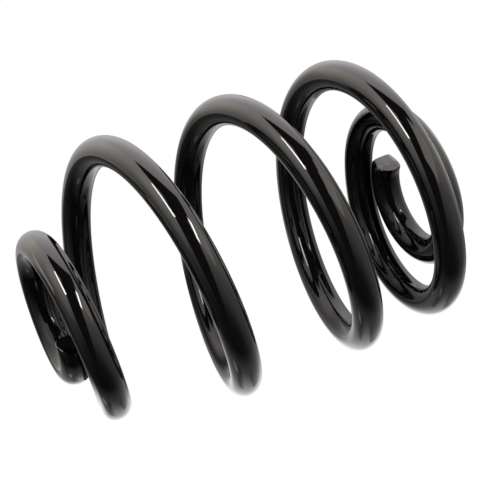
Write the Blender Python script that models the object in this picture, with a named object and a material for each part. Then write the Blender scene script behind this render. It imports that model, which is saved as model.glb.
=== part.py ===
"""Barrel-shaped coil spring for a car's rear suspension, wound from one round steel bar.

It stands on its lower eye. The origin is on the axis of the body, at the level of the lower seat,
and +Z runs up that axis. The wire climbs by the right-hand rule about +Z.
Run it with: blender --background --python part.py
"""

import math

import bmesh
import bpy
from mathutils import Vector

# Driving dimensions, in metres, turns and degrees. Turns are counted along the wire, from the
# lower tip to the upper one. A radius is from the axis to the middle of the wire.
WIRE_DIAMETER = 0.0125

# The winding, stretch by stretch, from the lower tip up.
LOWER_TIP_RADIUS = 0.01956
LOWER_EYE_RADIUS = 0.0218
BODY_LOWER_RADIUS = 0.0533
BODY_UPPER_RADIUS = 0.0542
UPPER_EYE_RADIUS = 0.0324
UPPER_TIP_GAP = 0.0012  # left between the upper tip and the turn around it, seen from above
LOWER_EYE_TURNS = 0.234
LOWER_FLARE_TURNS = 1.53
BODY_TURNS = 2.24
UPPER_TAPER_TURNS = 0.51
UPPER_EYE_TURNS = 1.015
LOWER_CURL_TURNS = 0.284  # the stretch over which each tip tightens
UPPER_CURL_TURNS = 0.695
LOWER_TIP_BEARING = 296.8  # degrees about +Z, from +X
LOWER_EYE_SHIFT_X = 0.0033  # how far the small turns lie off the axis of the body
LOWER_EYE_SHIFT_Y = -0.0008
UPPER_EYE_SHIFT_X = 0.0018

# The climb: flat on the seat, then at full pitch, then slower, and flat again at the upper tip.
BODY_PITCH = 0.0541
UPPER_PITCH = 0.0164
SEAT_TURNS = 0.484
RISE_TURNS = 1.04
FULL_PITCH_TURNS = 1.46
SLOWING_TURNS = 1.29

# The cropped tips of the wire. Bearings go round the wire in degrees, from its outer side up.
LOWER_SHEAR_ANGLE = 7.0  # degrees off square
LOWER_SHEAR_BEARING = 90.0  # the side that the blade cut back
UPPER_SHEAR_ANGLE = 11.0
UPPER_SHEAR_BEARING = 3.0
RIM_CHAMFER = 0.0006
NIP_ANGLE = 40.0  # degrees between a nip's flat and the cropped face
NIP_DEPTH = 0.0023  # how far a nip reaches in from the rim
NIP_BEARINGS = (-6.0, 80.0)

# How finely the round forms are divided.
WIRE_SIDES = 16
POINTS_PER_TURN = 36
MERGE_DISTANCE = 0.00001
SHARP_ANGLE = 28.0  # degrees; a sharper edge than this is shaded as an edge
END_FACE_ANGLE = 8.0  # degrees; an end face's triangles lie within this of square to the wire
CROPPED = 1  # the material slot of the cropped faces

WIRE_RADIUS = WIRE_DIAMETER / 2
UPPER_TIP_RADIUS = UPPER_EYE_RADIUS - WIRE_DIAMETER - UPPER_TIP_GAP
BODY_START = LOWER_EYE_TURNS + LOWER_FLARE_TURNS
BODY_END = BODY_START + BODY_TURNS
TOTAL_TURNS = BODY_END + UPPER_TAPER_TURNS + UPPER_EYE_TURNS
CLOSING_START = SEAT_TURNS + RISE_TURNS + FULL_PITCH_TURNS + SLOWING_TURNS


def clear_scene():
    for obj in list(bpy.data.objects):
        bpy.data.objects.remove(obj)


def new_collection(name):
    collection = bpy.data.collections.new(name)
    bpy.context.scene.collection.children.link(collection)
    return collection


def finish(name, colour, roughness, metallic):
    material = bpy.data.materials.new(name)
    material.use_nodes = True
    shader = material.node_tree.nodes["Principled BSDF"]
    shader.inputs["Base Color"].default_value = (*colour, 1.0)
    shader.inputs["Roughness"].default_value = roughness
    shader.inputs["Metallic"].default_value = metallic
    material.diffuse_color = (*colour, 1.0)
    material.roughness = roughness
    material.metallic = metallic
    return material


def black_enamel():
    """Glossy black stoving enamel over shot-peened spring steel."""
    return finish("black_enamel", colour=(0.012, 0.011, 0.011), roughness=0.16, metallic=0.0)


def cropped_steel():
    """The sheared face of the bar, which takes the enamel thinly and stays dull and grey."""
    return finish("cropped_steel", colour=(0.16, 0.155, 0.155), roughness=0.6, metallic=0.3)


def clamped(value):
    return min(max(value, 0.0), 1.0)


def eased(turn, start, length):
    """0 before a stretch of the wire and 1 after it, with a smooth change between."""
    share = clamped((turn - start) / length)
    return share * share * (3 - 2 * share)


def lower_eye_share(turn):
    return 1 - eased(turn, LOWER_EYE_TURNS, LOWER_FLARE_TURNS)


def upper_eye_share(turn):
    return eased(turn, BODY_END, UPPER_TAPER_TURNS)


def tip_curl(turns_from_tip, curl_turns):
    """1 at a tip, falling to 0 where its curl ends."""
    return clamped(1 - turns_from_tip / curl_turns) ** 2


def winding_radius(turn):
    along_body = clamped((turn - BODY_START) / BODY_TURNS)
    radius = BODY_LOWER_RADIUS + (BODY_UPPER_RADIUS - BODY_LOWER_RADIUS) * along_body
    radius -= (BODY_LOWER_RADIUS - LOWER_EYE_RADIUS) * lower_eye_share(turn)
    radius -= (BODY_UPPER_RADIUS - UPPER_EYE_RADIUS) * upper_eye_share(turn)
    radius -= (LOWER_EYE_RADIUS - LOWER_TIP_RADIUS) * tip_curl(turn, LOWER_CURL_TURNS)
    radius -= (UPPER_EYE_RADIUS - UPPER_TIP_RADIUS) * tip_curl(TOTAL_TURNS - turn, UPPER_CURL_TURNS)
    return radius


def eased_area(turn, start, length):
    """The integral of eased() up to this turn, so that heights come out exactly."""
    share = clamped((turn - start) / length)
    return length * share**3 * (1 - share / 2) + max(turn - start - length, 0.0)


def climb(turn):
    """Height of the wire's middle above the middle of the seat turn."""
    slowing_start = SEAT_TURNS + RISE_TURNS + FULL_PITCH_TURNS
    height = BODY_PITCH * eased_area(turn, SEAT_TURNS, RISE_TURNS)
    height -= (BODY_PITCH - UPPER_PITCH) * eased_area(turn, slowing_start, SLOWING_TURNS)
    height -= UPPER_PITCH * eased_area(turn, CLOSING_START, TOTAL_TURNS - CLOSING_START)
    return height


def wire_point(turn):
    """The middle of the wire, this many turns from the lower tip."""
    bearing = math.radians(LOWER_TIP_BEARING) + 2 * math.pi * turn
    radius = winding_radius(turn)
    lower = lower_eye_share(turn)
    upper = upper_eye_share(turn)
    return Vector((
        radius * math.cos(bearing) + LOWER_EYE_SHIFT_X * lower + UPPER_EYE_SHIFT_X * upper,
        radius * math.sin(bearing) + LOWER_EYE_SHIFT_Y * lower,
        WIRE_RADIUS + climb(turn),
    ))


def wound_bar(name, collection):
    """The bar as a curve object, swept along the winding and square at both ends."""
    steps = math.ceil(TOTAL_TURNS * POINTS_PER_TURN)
    curve = bpy.data.curves.new(name, "CURVE")
    curve.dimensions = "3D"
    curve.twist_mode = "Z_UP"
    curve.use_fill_caps = True
    # The flats of the many-sided wire lie at its surface, so that it seats at its true height.
    curve.bevel_depth = WIRE_RADIUS / math.cos(math.pi / WIRE_SIDES)
    curve.bevel_resolution = (WIRE_SIDES - 4) // 2
    # Likewise the straight lengths between points touch the true winding at their middles.
    points_out = 1 / math.cos(math.pi / POINTS_PER_TURN)
    spline = curve.splines.new("POLY")
    spline.points.add(steps)
    for step, point in enumerate(spline.points):
        place = wire_point(TOTAL_TURNS * step / steps)
        point.co = (place.x * points_out, place.y * points_out, place.z, 1.0)
        point.tilt = math.pi / WIRE_SIDES
    bar = bpy.data.objects.new(name, curve)
    collection.objects.link(bar)
    return bar


def as_mesh_object(bar, name, collection):
    """The curve made a mesh, in place of the curve."""
    graph = bpy.context.evaluated_depsgraph_get()
    mesh = bpy.data.meshes.new_from_object(bar.evaluated_get(graph))
    mesh.name = name
    obj = bpy.data.objects.new(name, mesh)
    obj.matrix_world = bar.matrix_world
    collection.objects.link(obj)
    bpy.data.objects.remove(bar)
    return obj


def near(face, tip):
    return (face.calc_center_median() - tip).length < WIRE_DIAMETER


def square_end(bm, tip, outward):
    """The flat end face at a tip, its triangles merged into one face."""
    widest = math.radians(END_FACE_ANGLE)
    cap = [face for face in bm.faces if near(face, tip) and face.normal.angle(outward) < widest]
    end_face = bmesh.ops.dissolve_faces(bm, faces=cap)["region"][0]
    end_face.material_index = CROPPED
    return end_face


def shear(end_face, tip, outward, normal):
    """Slides the end face's corners along the wire onto the slanted plane that the crop left."""
    for vert in end_face.verts:
        vert.co -= outward * (vert.co - tip).dot(normal) / outward.dot(normal)


def with_neighbours(faces):
    corners = {vert for face in faces for vert in face.verts}
    return {face for vert in corners for face in vert.link_faces}


def nip(bm, tip, on_rim, normal):
    """Cuts a flat across one side of the rim, where the blades bruised it."""
    cropped = {face for face in bm.faces if face.material_index == CROPPED and near(face, tip)}
    rim_too = with_neighbours(cropped)
    near_end = with_neighbours(rim_too)
    geometry = {item for face in near_end for item in (*face.verts, *face.edges, face)}
    cut = bmesh.ops.bisect_plane(
        bm, geom=list(geometry), plane_co=on_rim, plane_no=normal, clear_outer=True
    )
    outline = [item for item in cut["geom_cut"] if isinstance(item, bmesh.types.BMEdge)]
    for face in bmesh.ops.contextual_create(bm, geom=outline)["faces"]:
        face.material_index = CROPPED


def crop_tip(bm, tip, inward_point, shear_angle, shear_bearing):
    """Gives one tip of the wire its sheared, slightly chamfered and nipped end."""
    outward = (tip - inward_point).normalized()
    across = Vector((tip.x, tip.y, 0.0))
    outer_side = (across - outward * across.dot(outward)).normalized()
    upper_side = Vector((0.0, 0.0, 1.0))

    def round_the_wire(bearing):
        angle = math.radians(bearing)
        return outer_side * math.cos(angle) + upper_side * math.sin(angle)

    slant = math.radians(shear_angle)
    face_normal = outward * math.cos(slant) + round_the_wire(shear_bearing) * math.sin(slant)
    end_face = square_end(bm, tip, outward)
    shear(end_face, tip, outward, face_normal)
    rim = list(end_face.edges)
    bmesh.ops.bevel(
        bm, geom=rim, offset=RIM_CHAMFER, segments=1, profile=0.5, affect="EDGES", material=-1
    )
    tilt = math.radians(NIP_ANGLE)
    for bearing in NIP_BEARINGS:
        towards = round_the_wire(bearing)
        on_rim = tip + towards * (WIRE_RADIUS - NIP_DEPTH)
        on_rim -= outward * (on_rim - tip).dot(face_normal) / outward.dot(face_normal)
        nip(bm, tip, on_rim, outward * math.cos(tilt) + towards * math.sin(tilt))


def main():
    clear_scene()
    collection = new_collection("barrel_coil_spring")
    bar = wound_bar("wound_bar", collection)
    spring = as_mesh_object(bar, "coil_spring", collection)
    for material in (black_enamel(), cropped_steel()):
        spring.data.materials.append(material)

    bm = bmesh.new()
    bm.from_mesh(spring.data)
    bmesh.ops.remove_doubles(bm, verts=bm.verts, dist=MERGE_DISTANCE)
    one_point = 1 / POINTS_PER_TURN
    low_tip, high_tip = wire_point(0.0), wire_point(TOTAL_TURNS)
    crop_tip(bm, low_tip, wire_point(one_point), LOWER_SHEAR_ANGLE, LOWER_SHEAR_BEARING)
    below_high_tip = wire_point(TOTAL_TURNS - one_point)
    crop_tip(bm, high_tip, below_high_tip, UPPER_SHEAR_ANGLE, UPPER_SHEAR_BEARING)
    bm.to_mesh(spring.data)
    bm.free()

    spring.data.shade_smooth()
    spring.data.set_sharp_from_angle(angle=math.radians(SHARP_ANGLE))


main()
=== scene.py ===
import math

import bmesh
import bpy
import numpy as np
from mathutils import Matrix, Quaternion, Vector, noise


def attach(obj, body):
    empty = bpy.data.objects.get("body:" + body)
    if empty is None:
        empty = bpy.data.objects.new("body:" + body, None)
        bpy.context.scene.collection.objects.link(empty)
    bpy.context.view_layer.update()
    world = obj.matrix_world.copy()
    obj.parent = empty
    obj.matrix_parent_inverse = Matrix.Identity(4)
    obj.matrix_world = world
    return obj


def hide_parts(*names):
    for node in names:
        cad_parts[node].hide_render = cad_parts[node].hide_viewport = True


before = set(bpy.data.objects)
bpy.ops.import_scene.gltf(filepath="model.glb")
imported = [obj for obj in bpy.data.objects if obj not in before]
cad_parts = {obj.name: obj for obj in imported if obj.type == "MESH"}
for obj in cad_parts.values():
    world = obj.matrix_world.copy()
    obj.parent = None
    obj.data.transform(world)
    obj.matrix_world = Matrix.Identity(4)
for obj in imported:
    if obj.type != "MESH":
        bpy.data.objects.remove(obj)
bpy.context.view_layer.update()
studio = bpy.context.scene

# The camera of the photograph looks at the middle of the spring from a little below its lower
# seat. It is turned on its side, so that the axis of the spring runs across the picture.
LOOKS_AT = Vector((-0.0008, 0.0, 0.0881))
CAMERA_DISTANCE = 0.4926
CAMERA_AZIMUTH = math.radians(-6.25)
CAMERA_ELEVATION = math.radians(-17.75)
CAMERA_ROLL = math.radians(70.24)
FOCAL_LENGTH = 89.64
NEAREST_SEEN = 0.01

camera = bpy.data.objects.new("camera", bpy.data.cameras.new("camera"))
studio.collection.objects.link(camera)
studio.camera = camera
camera.data.lens = FOCAL_LENGTH
camera.data.clip_start = NEAREST_SEEN
towards_camera = Vector((
    math.sin(CAMERA_AZIMUTH) * math.cos(CAMERA_ELEVATION),
    -math.cos(CAMERA_AZIMUTH) * math.cos(CAMERA_ELEVATION),
    math.sin(CAMERA_ELEVATION),
))
unrolled = (-towards_camera).to_track_quat("-Z", "Y")
turned = unrolled @ Quaternion((0.0, 0.0, 1.0), CAMERA_ROLL)
camera.matrix_world = Matrix.LocRotScale(LOOKS_AT + towards_camera * CAMERA_DISTANCE, turned, None)

# The spring is one bar of round spring steel, cropped to length and then coiled. It is barrel
# shaped: both ends wind in to a small eye, and the body between them keeps nearly one radius.
# Turns are counted along the wire from the lower tip, and radii reach to the wire's middle.
WIRE_RADIUS = 0.00625
LOWER_TIP_RADIUS = 0.01956
LOWER_EYE_RADIUS = 0.0218
BODY_LOWER_RADIUS = 0.0533
BODY_UPPER_RADIUS = 0.0542
UPPER_EYE_RADIUS = 0.0324
UPPER_TIP_RADIUS = 0.0187
LOWER_EYE_TURNS = 0.234
LOWER_FLARE_TURNS = 1.53
BODY_TURNS = 2.24
UPPER_TAPER_TURNS = 0.51
UPPER_EYE_TURNS = 1.015
LOWER_CURL_TURNS = 0.284
UPPER_CURL_TURNS = 0.695
BODY_START = LOWER_EYE_TURNS + LOWER_FLARE_TURNS
BODY_END = BODY_START + BODY_TURNS
TOTAL_TURNS = BODY_END + UPPER_TAPER_TURNS + UPPER_EYE_TURNS
LOWER_TIP_BEARING = math.radians(296.8)
LOWER_EYE_SHIFT = Vector((0.0033, -0.0008, 0.0))
UPPER_EYE_SHIFT = Vector((0.0018, 0.0, 0.0))
BODY_PITCH = 0.0541
UPPER_PITCH = 0.0164
SEAT_TURNS = 0.484
RISE_TURNS = 1.04
FULL_PITCH_TURNS = 1.46
SLOWING_TURNS = 1.29
SLOWING_START = SEAT_TURNS + RISE_TURNS + FULL_PITCH_TURNS
CLOSING_START = SLOWING_START + SLOWING_TURNS


def clamped(value):
    return min(max(value, 0.0), 1.0)


def eased(turn, start, length):
    """0 before a stretch of the wire and 1 after it, with a smooth change between."""
    share = clamped((turn - start) / length)
    return share * share * (3 - 2 * share)


def eased_area(turn, start, length):
    """What eased() adds up to by this turn, so that heights come out exactly."""
    share = clamped((turn - start) / length)
    return length * share**3 * (1 - share / 2) + max(turn - start - length, 0.0)


def wire_point(turn):
    """The middle of the wire, this many turns from the lower tip."""
    lower = 1 - eased(turn, LOWER_EYE_TURNS, LOWER_FLARE_TURNS)
    upper = eased(turn, BODY_END, UPPER_TAPER_TURNS)
    lower_curl = clamped(1 - turn / LOWER_CURL_TURNS) ** 2
    upper_curl = clamped(1 - (TOTAL_TURNS - turn) / UPPER_CURL_TURNS) ** 2
    along_body = clamped((turn - BODY_START) / BODY_TURNS)
    radius = BODY_LOWER_RADIUS + (BODY_UPPER_RADIUS - BODY_LOWER_RADIUS) * along_body
    radius -= (BODY_LOWER_RADIUS - LOWER_EYE_RADIUS) * lower
    radius -= (BODY_UPPER_RADIUS - UPPER_EYE_RADIUS) * upper
    radius -= (LOWER_EYE_RADIUS - LOWER_TIP_RADIUS) * lower_curl
    radius -= (UPPER_EYE_RADIUS - UPPER_TIP_RADIUS) * upper_curl
    height = BODY_PITCH * eased_area(turn, SEAT_TURNS, RISE_TURNS)
    height -= (BODY_PITCH - UPPER_PITCH) * eased_area(turn, SLOWING_START, SLOWING_TURNS)
    height -= UPPER_PITCH * eased_area(turn, CLOSING_START, TOTAL_TURNS - CLOSING_START)
    bearing = LOWER_TIP_BEARING + 2 * math.pi * turn
    around = Vector((math.cos(bearing), math.sin(bearing), 0.0))
    middle = LOWER_EYE_SHIFT * lower + UPPER_EYE_SHIFT * upper
    return middle + around * radius + Vector((0.0, 0.0, WIRE_RADIUS + height))


TURN_STEP = 0.001
turns = np.arange(0.0, TOTAL_TURNS + TURN_STEP / 2, TURN_STEP)
points = np.array([wire_point(turn) for turn in turns])
lengths = np.append(0.0, np.cumsum(np.linalg.norm(np.diff(points, axis=0), axis=1)))
BAR_LENGTH = float(lengths[-1])


def wire_place(length):
    """Where the bar is this far along: X points to its outer side, Y to its lower, Z along it."""
    turn = float(np.interp(length, lengths, turns))
    along = (wire_point(turn + TURN_STEP) - wire_point(turn - TURN_STEP)).normalized()
    bearing = LOWER_TIP_BEARING + 2 * math.pi * turn
    around = Vector((math.cos(bearing), math.sin(bearing), 0.0))
    outer_side = (around - along * around.dot(along)).normalized()
    lower_side = along.cross(outer_side)
    axes = Matrix((outer_side, lower_side, along)).transposed().to_4x4()
    return Matrix.Translation(wire_point(turn)) @ axes


# The bar is drawn round. It is straight here, with its lower tip at the origin, its outer side
# along X and its lower side along Y, and it is coiled once both of its ends are cropped.
WIRE_SIDES = 96
RING_SPACING = 0.0025
CROPPED_STRETCH = 0.007

bar = bmesh.new()
circle = bmesh.ops.create_circle(
    bar, cap_ends=False, radius=WIRE_RADIUS, segments=WIRE_SIDES
)["verts"]
bmesh.ops.translate(bar, verts=circle, vec=(0.0, 0.0, CROPPED_STRETCH))
lower_ring = bar.edges[:]


def next_ring(ring):
    """Grows a ring of edges by one ring, still in the same place, and returns its parts."""
    grown = bmesh.ops.extrude_edge_only(bar, edges=ring)["geom"]
    edges = [item for item in grown if isinstance(item, bmesh.types.BMEdge)]
    verts = [item for item in grown if isinstance(item, bmesh.types.BMVert)]
    faces = [item for item in grown if isinstance(item, bmesh.types.BMFace)]
    return edges, verts, faces


plain_length = BAR_LENGTH - 2 * CROPPED_STRETCH
steps = round(plain_length / RING_SPACING)
upper_ring = lower_ring
for _ in range(steps):
    upper_ring, verts, _ = next_ring(upper_ring)
    bmesh.ops.translate(bar, verts=verts, vec=(0.0, 0.0, plain_length / steps))

# Each end was cropped between two blades. The cut is a few degrees off square and the blades
# nipped flats into its rim. The side that was cut is smooth, and the side that tore is uneven.
LOWER_SHEAR = (7.0, 90.0)  # degrees off square, and the side that it cut back
UPPER_SHEAR = (11.0, 3.0)
OUTER_NIP = (-6.0, 0.0023, 40.0)  # its side, how far in from the rim it reaches, and its slope
TOP_NIP = (80.0, 0.0023, 40.0)
CHIP = (-74.0, 0.0012, 58.0)
CREASE_SOFTNESS = 0.0004
RIM_ROUNDING = 0.0004
ROUNDING_RINGS = 4
FACE_RINGS = 20
SIDE_RINGS = 5
HOLLOW_DEPTH = 0.00012
TORN_GRAIN = 700.0
TORN_HEIGHT = 0.00009
TORN_FROM = 0.5
ENAMELLED, LOWER_CROP, UPPER_CROP = 0, 1, 2


def round_the_wire(bearing):
    """The way to one side of the bar, in degrees from its outer side up."""
    angle = math.radians(bearing)
    return Vector((math.cos(angle), -math.sin(angle), 0.0))


def crop_cuts(shear, nips):
    """Each cut's own direction across the bar, where it starts, its slope and its height there."""
    shear_angle, shear_bearing = shear
    cut_back = round_the_wire(shear_bearing)
    slope = math.tan(math.radians(shear_angle))
    cuts = [(cut_back, 0.0, slope, 0.0)]
    for bearing, depth, angle in nips:
        across = round_the_wire(bearing)
        start = WIRE_RADIUS - depth
        height = -start * across.dot(cut_back) * slope
        cuts.append((across, start, math.tan(math.radians(angle)), height))
    return cuts


def reach(place, cuts):
    """How far out the cropped end stands over one place of the bar's section."""
    first, *others = (
        height - (place.dot(across) - start) * slope for across, start, slope, height in cuts
    )
    lowest = first
    for height in others:
        overlap = max(CREASE_SOFTNESS - abs(lowest - height), 0.0)
        lowest = min(lowest, height) - overlap * overlap / (4 * CREASE_SOFTNESS)
    return lowest


def torn_height(place):
    """The torn metal: a little hollow, and uneven towards the side where the cut ended."""
    from_middle = place.length / WIRE_RADIUS
    torn = clamped(TORN_FROM - place.x / WIRE_RADIUS)
    hollow = HOLLOW_DEPTH * (1 - from_middle**2)
    return noise.noise(place * TORN_GRAIN) * TORN_HEIGHT * torn - hollow


def in_chip(face):
    bearing, depth, _ = CHIP
    return face.calc_center_median().dot(round_the_wire(bearing)) > WIRE_RADIUS - depth


lower_cuts = crop_cuts(LOWER_SHEAR, (OUTER_NIP, TOP_NIP))
upper_cuts = crop_cuts(UPPER_SHEAR, (OUTER_NIP, TOP_NIP, CHIP))
for ring, tip_length, outward, cuts, crop in (
    (lower_ring, 0.0, -1.0, lower_cuts, LOWER_CROP),
    (upper_ring, BAR_LENGTH, 1.0, upper_cuts, UPPER_CROP),
):
    for number in range(SIDE_RINGS):
        ring, verts, _ = next_ring(ring)
        for vert in verts:
            place = Vector((vert.co.x, vert.co.y, 0.0))
            rim = tip_length + outward * (reach(place, cuts) - RIM_ROUNDING)
            vert.co.z += (rim - vert.co.z) / (SIDE_RINGS - number)
    for number in range(ROUNDING_RINGS):
        ring, verts, _ = next_ring(ring)
        angle = math.pi / 2 * (number + 1) / ROUNDING_RINGS
        radius = WIRE_RADIUS - RIM_ROUNDING * (1 - math.cos(angle))
        for vert in verts:
            place = Vector((vert.co.x, vert.co.y, 0.0)).normalized() * radius
            drop = RIM_ROUNDING * (1 - math.sin(angle))
            vert.co = (place.x, place.y, tip_length + outward * (reach(place, cuts) - drop))
    for number in range(FACE_RINGS):
        ring, verts, faces = next_ring(ring)
        radius = (WIRE_RADIUS - RIM_ROUNDING) * (1 - (number + 1) / (FACE_RINGS + 1))
        for vert in verts:
            place = Vector((vert.co.x, vert.co.y, 0.0)).normalized() * radius
            height = reach(place, cuts) + torn_height(place)
            vert.co = (place.x, place.y, tip_length + outward * height)
        for face in faces:
            face.material_index = ENAMELLED if crop == UPPER_CROP and in_chip(face) else crop
    closing = bmesh.ops.contextual_create(bar, geom=ring)["faces"]
    for face in bmesh.ops.poke(bar, faces=closing)["faces"]:
        face.material_index = crop
bmesh.ops.recalc_face_normals(bar, faces=bar.faces)


def place_along_bar(face):
    middle = face.calc_center_median()
    return middle.z, middle.x, middle.y


# The rings' faces are made in no fixed order, so they are put in order along the bar.
for number, face in enumerate(sorted(bar.faces, key=place_along_bar)):
    face.index = number
bar.faces.sort()

# Coiling: every cross-section of the straight bar moves to its place on the winding. Where each
# point lay on the straight bar stays with it, so that the finish can follow the wire.
bar_place = bar.verts.layers.float_vector.new("bar_place")
for vert in bar.verts:
    vert[bar_place] = vert.co
    length = min(max(vert.co.z, 0.0), BAR_LENGTH)
    vert.co = wire_place(length) @ Vector((vert.co.x, vert.co.y, vert.co.z - length))

mesh = bpy.data.meshes.new("wound_bar")
bar.to_mesh(mesh)
bar.free()
mesh.shade_smooth()
wound_bar = bpy.data.objects.new("wound_bar", mesh)
studio.collection.objects.link(wound_bar)
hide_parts("coil_spring")
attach(wound_bar, "root")

# The whole spring is sprayed with black enamel and stoved, which leaves a deep gloss. The spray
# reached the inner side of the coils thinly, so it shines less there; that weaker gloss is also
# painted shade for the inside of the coils. Close up the enamel has a faint orange peel, the long
# marks of the rolled bar under it, and specks of dust.
ENAMEL_BLACK = (0.0026, 0.0021, 0.0023, 1.0)
ENAMEL_FADED = (0.0034, 0.0030, 0.0031, 1.0)
CLOUD_GRAIN = (90.0, 3.0)  # waves per metre, and how much finer detail there is in them
CLOUD_SPREAD = (0.3, 0.7)
ENAMEL_ROUGHNESS = (0.045, 0.075)
PEEL_GRAIN = (620.0, 1.0)
PEEL_HEIGHT = 0.0000022
ROLLING_MARK_GRAIN = (900.0, 2.0)
ROLLING_MARK_STRETCH = (1.0, 1.0, 0.03)
ROLLING_MARK_HEIGHT = 0.000002
DUST_PER_METRE = 150.0
DUST_SIZE = 0.045
DUST_HEIGHT = 0.00005
THIN_SHINE = 0.28
FULL_COAT = 0.58
COAT_ROUGHNESS = 0.05
THIN_COAT_AND_SHADE_FROM = -0.1 * WIRE_RADIUS
THIN_COAT_AND_SHADE_TO = -0.8 * WIRE_RADIUS
MIX_SHARE = 0
MIX_SIDES_AND_RESULT = {"RGBA": (6, 7, 2), "VECTOR": (4, 5, 1)}


def new_finish(name):
    """A finish of the bar: its nodes, links and shader, and where each point lay on the bar."""
    finish = bpy.data.materials.new(name)
    finish.use_nodes = True
    mesh.materials.append(finish)
    tree = finish.node_tree
    on_bar = tree.nodes.new("ShaderNodeAttribute")
    on_bar.attribute_name = "bar_place"
    return tree.nodes, tree.links, tree.nodes["Principled BSDF"], on_bar.outputs["Vector"]


def feed(socket, value):
    """Puts a number, a colour or the result of another node into a socket."""
    if isinstance(value, bpy.types.NodeSocket):
        links.new(value, socket)
    else:
        socket.default_value = value


def maths(operation, *values):
    """A maths node of the finish in hand, with numbers or other nodes' results going in."""
    node = nodes.new("ShaderNodeMath")
    node.operation = operation
    for socket, value in zip(node.inputs, values):
        feed(socket, value)
    return node.outputs[0]


def graded(value, value_from, value_to, result_from, result_to):
    """Takes one range of a value smoothly to another, and keeps to its ends outside it."""
    node = nodes.new("ShaderNodeMapRange")
    node.interpolation_type = "SMOOTHSTEP"
    feed(node.inputs["Value"], value)
    ends = (value_from, value_to, result_from, result_to)
    for name, end in zip(("From Min", "From Max", "To Min", "To Max"), ends):
        feed(node.inputs[name], end)
    return node.outputs["Result"]


def cloudy(place, grain):
    """A soft noise from 0 to 1."""
    node = nodes.new("ShaderNodeTexNoise")
    feed(node.inputs["Vector"], place)
    for name, value in zip(("Scale", "Detail"), grain):
        feed(node.inputs[name], value)
    return node.outputs["Fac"]


def stretched(place, factors):
    """A place measured more closely along some axes, so that a noise is drawn out along them."""
    node = nodes.new("ShaderNodeVectorMath")
    node.operation = "MULTIPLY"
    feed(node.inputs[0], place)
    feed(node.inputs[1], factors)
    return node.outputs[0]


def blended(kind, share, first, second, blend="MIX"):
    """Takes one colour or light over into another as the share rises to 1."""
    node = nodes.new("ShaderNodeMix")
    node.data_type = kind
    node.blend_type = blend
    first_side, second_side, result = MIX_SIDES_AND_RESULT[kind]
    for number, value in ((MIX_SHARE, share), (first_side, first), (second_side, second)):
        feed(node.inputs[number], value)
    return node.outputs[result]


def raised(height):
    """The bump of a height in metres."""
    node = nodes.new("ShaderNodeBump")
    feed(node.inputs["Distance"], 1.0)
    feed(node.inputs["Height"], height)
    return node.outputs["Normal"]


nodes, links, shader, on_bar = new_finish("black_enamel")
peel = maths("MULTIPLY", cloudy(on_bar, PEEL_GRAIN), PEEL_HEIGHT)
marks = cloudy(stretched(on_bar, ROLLING_MARK_STRETCH), ROLLING_MARK_GRAIN)
marks = maths("MULTIPLY", marks, ROLLING_MARK_HEIGHT)
specks = nodes.new("ShaderNodeTexVoronoi")
feed(specks.inputs["Scale"], DUST_PER_METRE)
feed(specks.inputs["Vector"], on_bar)
dust = graded(specks.outputs["Distance"], 0.0, DUST_SIZE, DUST_HEIGHT, 0.0)
enamel_bump = raised(maths("ADD", maths("ADD", peel, marks), dust))
feed(shader.inputs["Normal"], enamel_bump)
feed(shader.inputs["Coat Normal"], enamel_bump)
across_bar = nodes.new("ShaderNodeSeparateXYZ")
feed(across_bar.inputs[0], on_bar)
# The coat thins towards the inner side of the bar: a thinner spray there, and painted shade for the
# inside of the coils.
coat = graded(across_bar.outputs["X"], THIN_COAT_AND_SHADE_TO, THIN_COAT_AND_SHADE_FROM, 0.0, FULL_COAT)
feed(shader.inputs["Coat Weight"], coat)
feed(shader.inputs["Coat Roughness"], COAT_ROUGHNESS)
feed(shader.inputs["Specular IOR Level"], THIN_SHINE)
clouds = cloudy(on_bar, CLOUD_GRAIN)
feed(shader.inputs["Base Color"], blended("RGBA", clouds, ENAMEL_BLACK, ENAMEL_FADED))
feed(shader.inputs["Roughness"], graded(clouds, *CLOUD_SPREAD, *ENAMEL_ROUGHNESS))

# The lower crop took only a thin dull coat of the enamel over its torn metal, and stays black.
PIT_GRAIN = (1400.0, 3.0)
PIT_DEPTH = 0.00002
DULL_GRAIN = (400.0, 3.0)
DULL_ROUGHNESS = 0.8
DULL_SHINE = 0.012

nodes, links, shader, on_bar = new_finish("coated_crop")
feed(shader.inputs["Roughness"], DULL_ROUGHNESS)
feed(shader.inputs["Specular IOR Level"], DULL_SHINE)
pits = maths("MULTIPLY", cloudy(on_bar, PIT_GRAIN), PIT_DEPTH)
feed(shader.inputs["Normal"], raised(pits))
clouds = cloudy(on_bar, DULL_GRAIN)
feed(shader.inputs["Base Color"], blended("RGBA", clouds, ENAMEL_BLACK, ENAMEL_FADED))

# The upper crop is left with almost bare steel: dull grey, with the drag marks of the blade across
# it from the outer side, darker where the metal tore, and a painted highlight along one nipped
# edge.
STEEL_GREY = (0.148, 0.140, 0.144, 1.0)
TORN_GREY = (0.074, 0.068, 0.072, 1.0)
CREASE_HIGHLIGHT_GREY = (0.42, 0.40, 0.40, 1.0)
DRAG_GRAIN = (2600.0, 3.0)
DRAG_STRETCH = (0.12, 1.0, 1.0)
DRAG_DEPTH = 0.00003
DRAG_SHADES = (0.72, 1.25)
STEEL_GRAIN = (1500.0, 4.0)
STEEL_ROUGHNESS = (0.45, 0.65)
GRAIN_SPREAD = (0.3, 0.7)
GRAIN_MIDDLE = 0.5
TEAR_BEARING = 171.0
TEAR_START = 0.0004
TEAR_END = 0.0018
TEAR_UNEVENNESS = 0.004
CREASE_HIGHLIGHT_WIDTH = 0.0005
CREASE_HIGHLIGHT_FROM = -0.001
CREASE_HIGHLIGHT_TO = 0.0015

nodes, links, shader, on_bar = new_finish("bare_crop")


def along_bearing(bearing):
    """How far a point of the crop lies towards one side of the bar."""
    node = nodes.new("ShaderNodeVectorMath")
    node.operation = "DOT_PRODUCT"
    feed(node.inputs[0], on_bar)
    feed(node.inputs[1], round_the_wire(bearing))
    return node.outputs["Value"]


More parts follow.
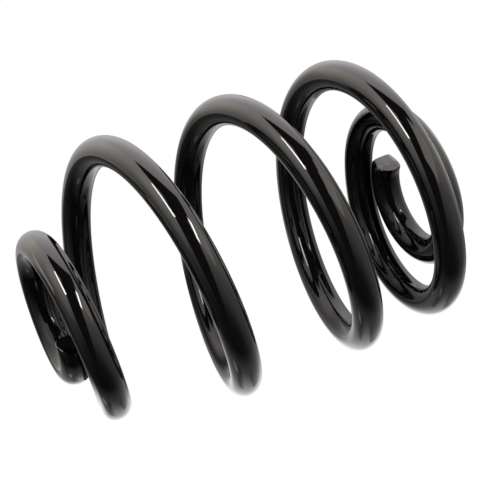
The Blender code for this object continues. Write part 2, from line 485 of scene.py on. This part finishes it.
drag = cloudy(stretched(on_bar, DRAG_STRETCH), DRAG_GRAIN)
grains = cloudy(on_bar, STEEL_GRAIN)
torn_relief = maths("MULTIPLY", maths("ADD", drag, grains), DRAG_DEPTH)
feed(shader.inputs["Normal"], raised(torn_relief))
uneven = maths("MULTIPLY", maths("SUBTRACT", grains, GRAIN_MIDDLE), TEAR_UNEVENNESS)
tear = graded(maths("ADD", along_bearing(TEAR_BEARING), uneven), TEAR_START, TEAR_END, 0.0, 1.0)
shade = blended("RGBA", tear, STEEL_GREY, TORN_GREY)
mottling = graded(drag, *GRAIN_SPREAD, *DRAG_SHADES)
mottled = blended("RGBA", 1.0, shade, mottling, blend="MULTIPLY")
# Painted highlight: a light grey band along the crease of the top nip, on its outer part, paints
# the glint there.
nip_bearing, nip_depth, _ = TOP_NIP
past_crease = maths("SUBTRACT", along_bearing(nip_bearing), WIRE_RADIUS - nip_depth)
beside_crease = graded(maths("ABSOLUTE", past_crease), 0.0, CREASE_HIGHLIGHT_WIDTH, 1.0, 0.0)
outer_part = graded(along_bearing(0.0), CREASE_HIGHLIGHT_FROM, CREASE_HIGHLIGHT_TO, 0.0, 1.0)
crease_highlight = maths("MULTIPLY", beside_crease, outer_part)
feed(shader.inputs["Base Color"], blended("RGBA", crease_highlight, mottled, CREASE_HIGHLIGHT_GREY))
feed(shader.inputs["Roughness"], graded(grains, *GRAIN_SPREAD, *STEEL_ROUGHNESS))

# The floor is plain pale card. The picture is taken from below its level, so that side of it lets
# the picture through, and from above it takes the shadow of the spring as any floor does.
FLOOR_HALF_WIDTH = 6.0
FLOOR_COLOUR = (0.8, 0.8, 0.8, 1.0)
FLOOR_ROUGHNESS = 0.9

floor_mesh = bpy.data.meshes.new("floor")
card = bmesh.new()
bmesh.ops.create_grid(card, x_segments=1, y_segments=1, size=FLOOR_HALF_WIDTH)
card.to_mesh(floor_mesh)
card.free()
floor = bpy.data.objects.new("floor", floor_mesh)
studio.collection.objects.link(floor)
pale_card = bpy.data.materials.new("pale_card")
pale_card.use_nodes = True
nodes, links = pale_card.node_tree.nodes, pale_card.node_tree.links
shader = nodes["Principled BSDF"]
feed(shader.inputs["Base Color"], FLOOR_COLOUR)
feed(shader.inputs["Roughness"], FLOOR_ROUGHNESS)
which_side = nodes.new("ShaderNodeNewGeometry")
seen_through = nodes.new("ShaderNodeBsdfTransparent")
one_sided = nodes.new("ShaderNodeMixShader")
feed(one_sided.inputs[0], which_side.outputs["Backfacing"])
feed(one_sided.inputs[1], shader.outputs[0])
feed(one_sided.inputs[2], seen_through.outputs[0])
feed(nodes["Material Output"].inputs["Surface"], one_sided.outputs[0])
floor_mesh.materials.append(pale_card)
floor.visible_glossy = False

# The spring was photographed in a tent of white cloth. The tent is here for the gloss alone: a
# bright roof, walls that darken downwards and to the back, a lit table behind the spring, and the
# dark opening that the camera looks in through, which draws a black band along every turn.
TENT_RADIUS = 3.0
TENT_FINENESS = 4
CLOTH_TINT = (1.055, 1.0, 0.93)
TABLE_TINT = (1.0, 0.99, 1.01)
ROOF_TINT = (1.07, 1.0, 1.04)
ROOM_TINT = (1.08, 0.95, 1.0)
ROOM_LIGHT = 0.038


def leave_to_the_gloss(thing):
    """Hides a thing of the tent from everything but reflections."""
    thing.visible_camera = False
    thing.visible_diffuse = False
    thing.visible_transmission = False
    thing.visible_shadow = False


picture_axes = Matrix.Translation(LOOKS_AT) @ turned.to_matrix().to_4x4()
tent_mesh = bpy.data.meshes.new("light_tent")
dome = bmesh.new()
bmesh.ops.create_icosphere(dome, subdivisions=TENT_FINENESS, radius=TENT_RADIUS)
dome.to_mesh(tent_mesh)
dome.free()
tent = bpy.data.objects.new("light_tent", tent_mesh)
studio.collection.objects.link(tent)
tent.matrix_world = picture_axes
leave_to_the_gloss(tent)


def towards(azimuth, elevation):
    """A direction in the picture's own frame: X right, Y up, Z towards the camera."""
    azimuth, elevation = math.radians(azimuth), math.radians(elevation)
    level_reach = math.cos(elevation)
    sideways, forwards = math.sin(azimuth) * level_reach, math.cos(azimuth) * level_reach
    return Vector((sideways, math.sin(elevation), forwards))


def near_to(azimuth, elevation):
    """The cosine of the angle to a direction."""
    node = nodes.new("ShaderNodeVectorMath")
    node.operation = "DOT_PRODUCT"
    feed(node.inputs[0], outwards)
    feed(node.inputs[1], towards(azimuth, elevation))
    return node.outputs["Value"]


def patch(where, cosines, outside, inside):
    """A soft round patch of the tent: one value outside it, and another in its middle."""
    return graded(near_to(*where), *cosines, outside, inside)


def disc(azimuth, elevation, angle, edge):
    """1 on a round part of the tent and 0 outside it, with its edge this many degrees soft."""
    outer, inner = math.cos(math.radians(angle + edge)), math.cos(math.radians(angle - edge))
    return graded(near_to(azimuth, elevation), outer, inner, 0.0, 1.0)


def tinted(strength, tint):
    node = nodes.new("ShaderNodeVectorMath")
    node.operation = "SCALE"
    feed(node.inputs[0], tint)
    feed(node.inputs["Scale"], strength)
    return node.outputs[0]


cloth = bpy.data.materials.new("tent_cloth")
cloth.use_nodes = True
cloth.cycles.emission_sampling = "NONE"
nodes, links = cloth.node_tree.nodes, cloth.node_tree.links
nodes.remove(nodes["Principled BSDF"])
on_tent = nodes.new("ShaderNodeTexCoord")
unit_length = nodes.new("ShaderNodeVectorMath")
unit_length.operation = "NORMALIZE"
feed(unit_length.inputs[0], on_tent.outputs["Object"])
outwards = unit_length.outputs[0]
split = nodes.new("ShaderNodeSeparateXYZ")
feed(split.inputs[0], outwards)
right, up, near = (split.outputs[axis] for axis in "XYZ")

# The walls, at each elevation in degrees, and their patches. A patch has its azimuth and elevation,
# the cosines between which it fades in, and what it is worth outside and in its middle.
WALL_LIGHT = (
    (-90, 0.02), (-60, 0.05), (-45, 0.11), (-30, 0.31), (-15, 0.54), (0, 0.76), (15, 1.45),
    (30, 2.1), (50, 2.45), (75, 2.3),
)
BRIGHTEST_WALL = 2.5
WALL_SHADES = (
    ((-166, 21), (0.65, 1.0), 1.0, 0.56),
    ((135, 15), (0.30, 0.85), 1.0, 0.60),
    ((148, 7), (0.90, 0.99), 1.0, 0.50),
    ((65, 28), (0.75, 1.0), 1.0, 0.78),
)
WALL_GLOW = ((-48, 11), (0.81, 1.0), 0.0, 0.8)
LOW_WALL_SHADE = ((-130, -20), (0.70, 0.93), 0.0, 0.80)
LOW_WALL_TOP = (-0.17, -0.13)

height_share = maths("MULTIPLY_ADD", maths("ARCSINE", up), 1 / math.pi, 0.5)
walls = nodes.new("ShaderNodeValToRGB")
feed(walls.inputs[0], height_share)
stops = walls.color_ramp.elements
for number, (elevation, brightness) in enumerate(WALL_LIGHT):
    height = elevation / 180 + 0.5
    stop = stops[number] if number < len(stops) else stops.new(height)
    stop.position = height
    stop.color = (*(brightness / BRIGHTEST_WALL,) * 3, 1.0)
wall_light = maths("MULTIPLY", walls.outputs["Color"], BRIGHTEST_WALL)
for wall_shade in WALL_SHADES:
    wall_light = maths("MULTIPLY", wall_light, patch(*wall_shade))
wall_light = maths("ADD", wall_light, patch(*WALL_GLOW))
below = graded(up, *LOW_WALL_TOP, 1.0, 0.0)
shaded = maths("MULTIPLY", below, patch(*LOW_WALL_SHADE))
wall_light = maths("MULTIPLY", wall_light, maths("SUBTRACT", 1.0, shaded))

# The table is brightest in the middle. It and the back of the tent are a purer white.
TABLE_RIGHT = ((132.7, -11.5), (0.27, 0.62), 0.0, 1.0)
TABLE_LEFT = ((212.4, -6.2), (0.20, 0.64), 0.0, 1.0)
TABLE_LIGHT = 0.56
TABLE_FRONT = ((171.9, -40.1), (0.57, 0.88), 0.0, 0.28)
TABLE_TOP = (-0.26, -0.03)
TABLE_SPOT = ((219, -54), (0.9945, 0.9995), 0.0, 0.6)
PURER_BELOW = (-0.40, -0.15)
PURER_BACK = ((165, 5), (0.55, 0.80), 0.0, 1.0)

table = maths("MULTIPLY", patch(*TABLE_RIGHT), patch(*TABLE_LEFT))
table = maths("MULTIPLY_ADD", table, TABLE_LIGHT, patch(*TABLE_FRONT))
table = maths("MULTIPLY", table, graded(up, *TABLE_TOP, 1.0, 0.0))
table = maths("ADD", table, patch(*TABLE_SPOT))
purer = maths("MAXIMUM", graded(up, *PURER_BELOW, 1.0, 0.0), patch(*PURER_BACK))
tint = blended("RGBA", purer, (*CLOTH_TINT, 1.0), (*TABLE_TINT, 1.0))
light = tinted(maths("ADD", wall_light, table), tint)

# The dark opening: a slot in front of the camera, and a gap between the front flaps and the roof.
# The slot's edges are slopes away from the line to the camera.
SLOT_LEFT = (-0.54, -0.50)
SLOT_RIGHT = (0.35, 0.45)
SLOT_LEAN = -0.19
LEAST_DEPTH = 0.01
FLAP_GAP = (0, 67.5, 32.8, 1.0)

in_front = maths("GREATER_THAN", near, LEAST_DEPTH)
depth = maths("MAXIMUM", near, LEAST_DEPTH)
side = maths("DIVIDE", right, depth)
rise = maths("DIVIDE", up, depth)
slot_left = graded(side, *SLOT_LEFT, 0.0, 1.0)
slot_right = graded(maths("MULTIPLY_ADD", rise, SLOT_LEAN, side), *SLOT_RIGHT, 1.0, 0.0)
slot = maths("MULTIPLY", slot_left, slot_right)
opening = maths("MULTIPLY", in_front, maths("MAXIMUM", slot, disc(*FLAP_GAP)))
room = nodes.new("ShaderNodeRGB")
room.outputs[0].default_value = (*(ROOM_LIGHT * part for part in ROOM_TINT), 1.0)
light = blended("VECTOR", opening, light, room.outputs[0])

# The roof leans back over the spring, and is brighter overhead, to the left and to the front.
ROOF = (180, 68.3, 39.0, 1.2)
ROOF_LIGHT = -0.06
ROOF_OVERHEAD = 2.36
ROOF_TO_RIGHT = -0.49
ROOF_TO_FRONT = 0.22

roof_light = maths("MULTIPLY_ADD", up, ROOF_OVERHEAD, ROOF_LIGHT)
roof_light = maths("MULTIPLY_ADD", right, ROOF_TO_RIGHT, roof_light)
roof_light = maths("MULTIPLY_ADD", near, ROOF_TO_FRONT, roof_light)
light = blended("VECTOR", disc(*ROOF), light, tinted(roof_light, ROOF_TINT))
emission = nodes.new("ShaderNodeEmission")
feed(emission.inputs["Color"], light)
feed(nodes["Material Output"].inputs["Surface"], emission.outputs[0])
tent_mesh.materials.append(cloth)

# Two soft boxes shine in beside the camera, and draw the white slits on the front strands. They
# are here for the gloss alone too. A flap of cloth hides each from some of the strands.
LAMP_DISTANCE = 1.6
LAMP_LIGHT = 26.0
LAMP_TINT = (1.0, 1.0, 1.0)
LEFT_LAMP = (-38.5, 28.6)
RIGHT_LAMP = (38.5, 32.0)
LEFT_WAY = Vector((-0.20, 0.73, -0.655))
RIGHT_WAY = Vector((0.148, 0.738, -0.658))
LEFT_BOX = ((-0.085, -0.49), (0.145, -0.49), (0.078, 0.33), (-0.040, 0.33))
RIGHT_BOX = ((-0.128, -0.38), (0.030, -0.38), (0.030, 0.34), (-0.128, 0.34))
LEFT_FLAP = ((-0.0115, -0.018), (0.0115, -0.018), (0.0115, 0.013), (-0.0115, 0.013))
RIGHT_FLAP = ((-0.015, -0.07), (0.07, -0.07), (0.07, 0.06), (-0.015, 0.06))
LEFT_FLAP_DISTANCE = 0.05
RIGHT_FLAP_DISTANCE = 0.2
LEFT_FLAP_LIGHT = 1.85
RIGHT_FLAP_LIGHT = 2.1
MIDDLE = Vector((0.0, 0.0, 0.0))
LOWER_EYE = Vector((-0.077, -0.0367, 0.0108))


def hang(name, corners, matter):
    """A flat card in the picture's frame, which the gloss alone sees."""
    card_mesh = bpy.data.meshes.new(name)
    cut_card = bmesh.new()
    card_face = cut_card.faces.new([cut_card.verts.new(corner) for corner in corners])
    across_and_along = cut_card.loops.layers.uv.new("across_and_along")
    for loop, on_card in zip(card_face.loops, ((0, 0), (1, 0), (1, 1), (0, 1))):
        loop[across_and_along].uv = on_card
    cut_card.to_mesh(card_mesh)
    cut_card.free()
    hung = bpy.data.objects.new(name, card_mesh)
    studio.collection.objects.link(hung)
    hung.matrix_world = picture_axes
    leave_to_the_gloss(hung)
    card_mesh.materials.append(matter)


def lit(name, brightness, tint):
    """Cloth that shines by itself, and lights nothing but the gloss."""
    matter = bpy.data.materials.new(name)
    matter.use_nodes = True
    matter.cycles.emission_sampling = "NONE"
    tree = matter.node_tree
    tree.nodes.remove(tree.nodes["Principled BSDF"])
    glow = tree.nodes.new("ShaderNodeEmission")
    glow.inputs["Color"].default_value = (*tint, 1.0)
    glow.inputs["Strength"].default_value = brightness
    tree.links.new(glow.outputs[0], tree.nodes["Material Output"].inputs["Surface"])
    return matter


def facing_card(seen_from, where, distance, lengthwise, outline):
    """The corners of a card that faces one place. Its outline runs across it and along it."""
    direction = towards(*where)
    along = (lengthwise - direction * lengthwise.dot(direction)).normalized()
    across = along.cross(direction)
    middle = seen_from + direction * distance
    return [middle + across * x + along * y for x, y in outline]


def hang_lamp(name, where, lengthwise, outline, matter):
    hang(name, facing_card(MIDDLE, where, LAMP_DISTANCE, lengthwise, outline), matter)


lamp_cloth = lit("lamp_cloth", LAMP_LIGHT, LAMP_TINT)
left_cloth = lit("left_flap_cloth", LEFT_FLAP_LIGHT, CLOTH_TINT)
right_cloth = lit("right_flap_cloth", RIGHT_FLAP_LIGHT, CLOTH_TINT)
left_corners = facing_card(LOWER_EYE, LEFT_LAMP, LEFT_FLAP_DISTANCE, LEFT_WAY, LEFT_FLAP)
right_corners = facing_card(MIDDLE, RIGHT_LAMP, RIGHT_FLAP_DISTANCE, RIGHT_WAY, RIGHT_FLAP)
hang_lamp("left_soft_box", LEFT_LAMP, LEFT_WAY, LEFT_BOX, lamp_cloth)
hang_lamp("right_soft_box", RIGHT_LAMP, RIGHT_WAY, RIGHT_BOX, lamp_cloth)
hang("left_flap", left_corners, left_cloth)
hang("right_flap", right_corners, right_cloth)

# Two soft folds cross the lit table, and draw the faint dark streaks under each turn. Close to the
# spring lie the shade beside its lowest turn, the light that falls in low on the left of it, and
# the light along the outermost turn on the right.
FOLD_WIDTH = 0.36
FOLD_DARKNESS = 0.52
FOLD_END = 0.15
LEFT_FOLD = ((225.2, -75.3, 0.543), (194.6, -39.9, 0.905))
RIGHT_FOLD = ((112.1, -65.5, 0.376), (153.5, -30.0, 1.48))
SOFT_END = 0.5
LOWEST_TURN_RIGHT = Vector((-0.043, -0.0514, 0.0463))
LOW_SHADE_WHERE = (163, -3)
LOW_SHADE_DISTANCE = 0.020
LOW_SHADE_SIZE = (0.008, 0.014)
LOW_SHADE_DARKNESS = 0.90
LOW_GLOW_PLACE = Vector((-0.0656, -0.0755, 0.0242))
LOW_GLOW_LEVEL = Vector((-0.697, -0.286, 0.656))
FROM_LOWER_EYE = Vector((-0.090, -0.873, -0.479))
LOW_GLOW_SIZE = (0.022, 0.020)
LOW_GLOW_LIGHT = 1.6
OUTERMOST_TURN = Vector((0.083, 0.034, 0.012))
OUTERMOST_WAY = Vector((0.28, -0.95, 0.0))
SIDE_GLOW_WHERE = (152, 13)
SIDE_GLOW_DISTANCE = 0.030
SIDE_GLOW_SIZE = (0.010, 0.030)
SIDE_GLOW_LIGHT = 1.3


def strip(first, second, width):
    """The corners of a strip between two places, each given by azimuth, elevation and distance."""
    ends = [towards(*where) * distance for *where, distance in (first, second)]
    across = (ends[1] - ends[0]).cross(ends[0]).normalized()
    reaches = [across * end.length * width / 2 for end in ends]
    return [ends[0] - reaches[0], ends[0] + reaches[0], ends[1] + reaches[1], ends[1] - reaches[1]]


def oblong(half_width, half_length):
    corners = ((-1, -1), (1, -1), (1, 1), (-1, 1))
    return [(x * half_width, y * half_length) for x, y in corners]


low_shade = facing_card(
    LOWEST_TURN_RIGHT, LOW_SHADE_WHERE, LOW_SHADE_DISTANCE, LEFT_WAY, oblong(*LOW_SHADE_SIZE)
)
low_glow = [
    LOW_GLOW_PLACE + FROM_LOWER_EYE * x + LOW_GLOW_LEVEL * y for x, y in oblong(*LOW_GLOW_SIZE)
]
side_glow = facing_card(
    OUTERMOST_TURN, SIDE_GLOW_WHERE, SIDE_GLOW_DISTANCE, OUTERMOST_WAY, oblong(*SIDE_GLOW_SIZE)
)
veils = [
    ("left_fold", strip(*LEFT_FOLD, FOLD_WIDTH), FOLD_DARKNESS, 0.0, FOLD_END),
    ("right_fold", strip(*RIGHT_FOLD, FOLD_WIDTH), FOLD_DARKNESS, 0.0, FOLD_END),
    ("low_shade", low_shade, LOW_SHADE_DARKNESS, 0.0, SOFT_END),
    ("low_glow", low_glow, 0.0, LOW_GLOW_LIGHT, SOFT_END),
    ("side_glow", side_glow, 0.0, SIDE_GLOW_LIGHT, SOFT_END),
]

# Soft shades hang in the gaps between the turns, and keep the light from the left off their backs.
# Each runs along the back of one turn: from where, to where, on which side of it, and how dark.
# Its ends fade away, so it is twice as long as the stretch that it shades.
SHADE_DISTANCE = 0.016
SHADE_HALF_WIDTH = 0.018
SHADE_OVERHANG = 0.010
SHADE_END = 0.25
BACK_SHADES = (
    ((-0.0207, -0.0258, -0.0408), (-0.0144, -0.0408, -0.0280), (238, 5), 0.85),
    ((-0.0233, 0.0451, -0.0166), (-0.0271, 0.0332, -0.0302), (228, -7), 0.55),
    ((0.0289, 0.0040, -0.0578), (0.0366, -0.0270, -0.0370), (233, 0), 0.50),
    ((0.0264, 0.0678, -0.0175), (0.0207, 0.0559, -0.0369), (224, -2), 0.40),
    ((0.0706, -0.0015, -0.0332), (0.0702, -0.0229, -0.0271), (235, 0), 0.60),
    ((0.0523, 0.0468, -0.0261), (0.0500, 0.0346, -0.0430), (245, 10), 0.85),
)

for number, (upper_end, lower_end, where, darkness) in enumerate(BACK_SHADES, start=1):
    lengthwise = Vector(upper_end) - Vector(lower_end)
    middle = (Vector(upper_end) + Vector(lower_end)) / 2
    outline = oblong(SHADE_HALF_WIDTH, lengthwise.length + SHADE_OVERHANG)
    corners = facing_card(middle, where, SHADE_DISTANCE, lengthwise, outline)
    veils.append((f"back_shade_{number}", corners, darkness, 0.0, SHADE_END))

# Folds, shades and glows are all thin veils, thickest in the middle and fading out to every edge.
# Where one is thickest it takes its share of the light behind it, and adds its own.
HALF_WAY = 0.5

for name, corners, darkness, own_light, fading_end in veils:
    veil = bpy.data.materials.new(name)
    veil.use_nodes = True
    veil.cycles.emission_sampling = "NONE"
    nodes, links = veil.node_tree.nodes, veil.node_tree.links
    nodes.remove(nodes["Principled BSDF"])
    on_veil = nodes.new("ShaderNodeUVMap")
    on_veil.uv_map = "across_and_along"
    split = nodes.new("ShaderNodeSeparateXYZ")
    feed(split.inputs[0], on_veil.outputs["UV"])
    from_ridge = maths("ABSOLUTE", maths("SUBTRACT", split.outputs["X"], HALF_WAY))
    from_middle = maths("ABSOLUTE", maths("SUBTRACT", split.outputs["Y"], HALF_WAY))
    across = graded(from_ridge, 0.0, HALF_WAY, 1.0, 0.0)
    along = graded(from_middle, HALF_WAY - fading_end, HALF_WAY, 1.0, 0.0)
    thickness = maths("MULTIPLY", across, along)
    thin = nodes.new("ShaderNodeBsdfTransparent")
    feed(thin.inputs["Color"], maths("MULTIPLY_ADD", thickness, -darkness, 1.0))
    glow = nodes.new("ShaderNodeEmission")
    feed(glow.inputs["Strength"], maths("MULTIPLY", thickness, own_light))
    both = nodes.new("ShaderNodeAddShader")
    feed(both.inputs[0], thin.outputs[0])
    feed(both.inputs[1], glow.outputs[0])
    feed(nodes["Material Output"].inputs["Surface"], both.outputs[0])
    hang(name, corners, veil)

# A broad lamp overhead models the dull surfaces, and puts a soft shadow under the spring.
OVERHEAD_PLACE = Vector((-0.5, -0.6, 1.6))
OVERHEAD_WIDTH = 0.9
OVERHEAD_ENERGY = 12.0

overhead_light = bpy.data.lights.new("overhead_lamp", "AREA")
overhead_light.size = OVERHEAD_WIDTH
overhead_light.energy = OVERHEAD_ENERGY
overhead = bpy.data.objects.new("overhead_lamp", overhead_light)
studio.collection.objects.link(overhead)
overhead.location = OVERHEAD_PLACE
overhead.rotation_euler = (OVERHEAD_PLACE - LOOKS_AT).to_track_quat("Z", "Y").to_euler()
overhead.visible_camera = False
overhead.visible_glossy = False

# Plain daylight from all round fills in the rest, and the picture's ground is white.
DAYLIGHT = 0.75
GROUND_LIGHT = 1.0
GROUND_WHITE = (1.0, 1.0, 1.0, 1.0)

world = bpy.data.worlds.new("daylight")
studio.world = world
world.use_nodes = True
nodes, links = world.node_tree.nodes, world.node_tree.links
ray = nodes.new("ShaderNodeLightPath")
seen = maths("MAXIMUM", ray.outputs["Is Camera Ray"], ray.outputs["Is Glossy Ray"])
seen = maths("MAXIMUM", seen, ray.outputs["Is Transmission Ray"])
ground = nodes["Background"]
feed(ground.inputs["Color"], GROUND_WHITE)
feed(ground.inputs["Strength"], graded(seen, 0.0, 1.0, DAYLIGHT, GROUND_LIGHT))
studio.view_settings.view_transform = "Standard"
